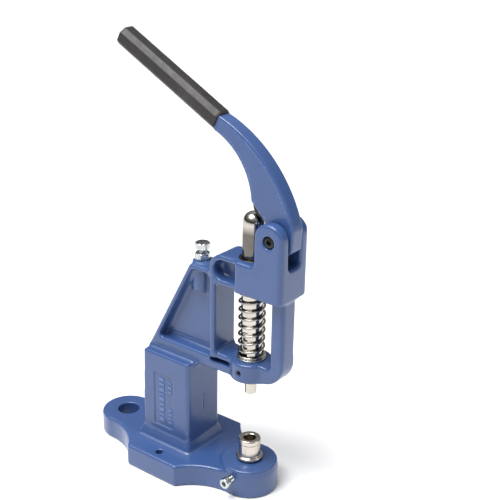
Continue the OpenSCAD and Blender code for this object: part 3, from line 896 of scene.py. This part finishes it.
pivot_head = placed(socket_head(5.35, 4.0, 4.8, 2.8), ALONG_MINUS_X, (-15.0, PIVOT[0], PIVOT[1]))
stem = placed(lathe(eased([(0, -15.0), (4.0, -15.0), (4.0, hi_[0] - 0.6), (3.4, hi_[0]), (0, hi_[0])], 0.2), 64),
              ALONG_X, (0, PIVOT[0], PIVOT[1]))
piece("pivot_bolt_skin", *join_meshes([pivot_head, stem]), BLACK, "frame", "pivot_bolt", 35, "black_oxide")
lo_, hi_ = corners("pivot_nut")
nut = hexagon_solid(12.9, 0, hi_[0] - lo_[0], 1.0, bore=4.06)
piece("pivot_nut_skin", *placed(nut, ALONG_X, (lo_[0], PIVOT[0], PIVOT[1])), BLACK,
      "frame", "pivot_nut", 32, "black_oxide")

lo_, hi_ = corners("thrust_washers")
wash = []
for a, b in ((lo_[0], lo_[0] + 0.9), (hi_[0] - 0.9, hi_[0])):
    p = [(4.06, a), (11.0, a), (11.0, b), (4.06, b)]
    wash.append(placed(lathe(eased(p, 0.2, closed=True), 96, True), ALONG_X, (0, PIVOT[0], PIVOT[1])))
piece("thrust_washer_skin", *join_meshes(wash), ZINC, "frame", "thrust_washers", 40, "zinc")

lo_, hi_ = corners("cam_roller")
p = [(3.06, lo_[0]), (11.0, lo_[0]), (11.0, hi_[0]), (3.06, hi_[0])]
piece("roller_skin", *placed(lathe(eased(p, 0.7, closed=True), 128, True), ALONG_X, (0, ROLLER[0], ROLLER[1])),
      BLACK, "roller", "cam_roller", 40, "black_oxide")

# die clamp screw: cap screw with a hexagonal socket, threaded shank
lo_, hi_ = corners("die_clamp_screw")
cap = placed(socket_head(5.0, 5.9, 4.4, 3.4, 0.3, 0.6), ALONG_MINUS_X, (lo_[0] + 6.0, 0, 18.5))
stem = placed(thread(2.95, 1.0, lo_[0] + 6.3, hi_[0], 0.5, 40), ALONG_X, (0, 0, 18.5))
collar = placed(lathe(eased([(0, lo_[0] + 5.9), (3.7, lo_[0] + 5.9), (3.7, lo_[0] + 7.0), (0, lo_[0] + 7.0)], 0.2), 48),
                ALONG_X, (0, 0, 18.5))
piece("clamp_screw_skin", *join_meshes([cap, stem, collar]), ZINC, "clamp_screw", "die_clamp_screw", 35, "zinc")

# ---------------------------------------------------------------- plain raised bars in the side panels
def mark(x, y0, y1, z0, z1, t, side_):
    """A low bar with sloped sides, standing out of a side panel."""
    lo_c, hi_c = (y0, z0), (y1, z1)
    b = 0.35
    outer = [(lo_c[0], lo_c[1]), (hi_c[0], lo_c[1]), (hi_c[0], hi_c[1]), (lo_c[0], hi_c[1])]
    inner = [(lo_c[0] + b, lo_c[1] + b), (hi_c[0] - b, lo_c[1] + b), (hi_c[0] - b, hi_c[1] - b), (lo_c[0] + b, hi_c[1] - b)]
    v = [(side_ * (x - 0.4), y, z) for y, z in outer] + [(side_ * (x + t * 0.6), y, z) for y, z in outer]
    v += [(side_ * (x + t), y, z) for y, z in inner]
    f = [(0, 3, 2, 1), (8, 9, 10, 11)]
    for k in (0, 4):
        for i in range(4):
            j = (i + 1) % 4
            f.append((k + i, k + j, k + 4 + j, k + 4 + i))
    return v, f


marks = []
panel = 22.6
rows_of = [(87.2, 93.6, 44.0, [7, 4, 7, 5, 7, 3, 7, 5, 6]), (77.6, 82.2, 44.0, [5, 3, 4, 5]),
           (77.6, 82.2, 78.0, [4, 6, 3])]
for side_ in (-1, 1):
    for y0, y1, z, lengths in rows_of:
        for k, length in enumerate(lengths):
            marks.append(mark(panel, y0, y1, z, z + length * 0.6, 0.7, side_))
            z += length * 0.6 + 2.2
piece("panel_marks", *join_meshes(marks), PAINT, "frame", None, 30, "blue_paint")

# ---------------------------------------------------------------- stage, lights
me = bpy.data.meshes.new("floor")
S = 80.0
me.from_pydata([(-S, -S, 0), (S, -S, 0), (S, S, 0), (-S, S, 0)], [], [(0, 1, 2, 3)])
me.materials.append(floor_material())
floor = bpy.data.objects.new("floor", me)
bpy.context.scene.collection.objects.link(floor)
floor.location.z = -0.0002


def softbox(name, where, size, power, aim=(0, 0.04, 0.16), colour=(1, 1, 1)):
    ld = bpy.data.lights.new(name, "AREA")
    ld.shape = "RECTANGLE"
    ld.size, ld.size_y = size
    ld.energy = power
    ld.color = colour
    ob = bpy.data.objects.new(name, ld)
    bpy.context.scene.collection.objects.link(ob)
    ob.location = where
    ob.rotation_euler = (Vector(aim) - Vector(where)).to_track_quat("-Z", "Y").to_euler()
    return ob


sun = bpy.data.lights.new("sky_panel", "SUN")
sun.energy = 2.75
sun.angle = math.radians(50)
ob = bpy.data.objects.new("sky_panel", sun)
bpy.context.scene.collection.objects.link(ob)
ob.rotation_euler = Vector((0.35, -0.22, -1)).to_track_quat("-Z", "Y").to_euler()
softbox("top_box", (-0.45, 0.15, 1.3), (0.6, 0.6), 11)
softbox("front_box", (0.5, -1.25, 0.7), (0.35, 0.9), 2.5)

world = bpy.data.worlds.new("studio")
bpy.context.scene.world = world
world.use_nodes = True
wt = world.node_tree
bg = wt.nodes["Background"]
tc = wt.nodes.new("ShaderNodeTexCoord")
sep = wt.nodes.new("ShaderNodeSeparateXYZ")
wt.links.new(tc.outputs["Generated"], sep.inputs["Vector"])
wr = wt.nodes.new("ShaderNodeValToRGB")
for e, (pos, c) in zip([wr.color_ramp.elements[0], wr.color_ramp.elements[1], wr.color_ramp.elements.new(0.5)],
                       [(0.0, 0.07), (1.0, 1.0), (0.35, 0.16)]):
    e.position = pos
    e.color = (c, c, c, 1)
wt.links.new(sep.outputs["Z"], wr.inputs["Fac"])
wt.links.new(wr.outputs["Color"], bg.inputs["Color"])
bg.inputs["Strength"].default_value = 0.75
